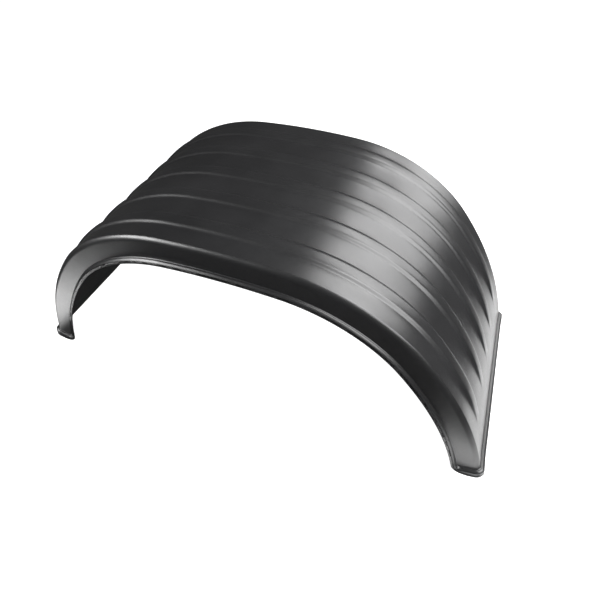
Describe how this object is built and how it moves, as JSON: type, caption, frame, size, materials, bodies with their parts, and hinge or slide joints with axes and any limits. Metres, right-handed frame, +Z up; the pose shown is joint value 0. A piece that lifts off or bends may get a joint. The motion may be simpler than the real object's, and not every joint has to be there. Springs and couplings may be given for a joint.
{
  "type": "truck mudguard",
  "caption": "Wide arched plastic mudguard for a lorry's twin rear wheels, with raised ribs round the arch, turned-down side walls and an outturned lip all round.",
  "frame": {"origin": "under the middle of the arch, level with its feet", "axes": "+X along the vehicle, +Y across the tread, +Z up"},
  "size_m": [1.5098, 0.65, 0.6288],
  "materials": {
    "black_plastic": "satin moulded black plastic"
  },
  "bodies": {
    "root": {"mudguard": "black_plastic"}
  },
  "joints": []
}
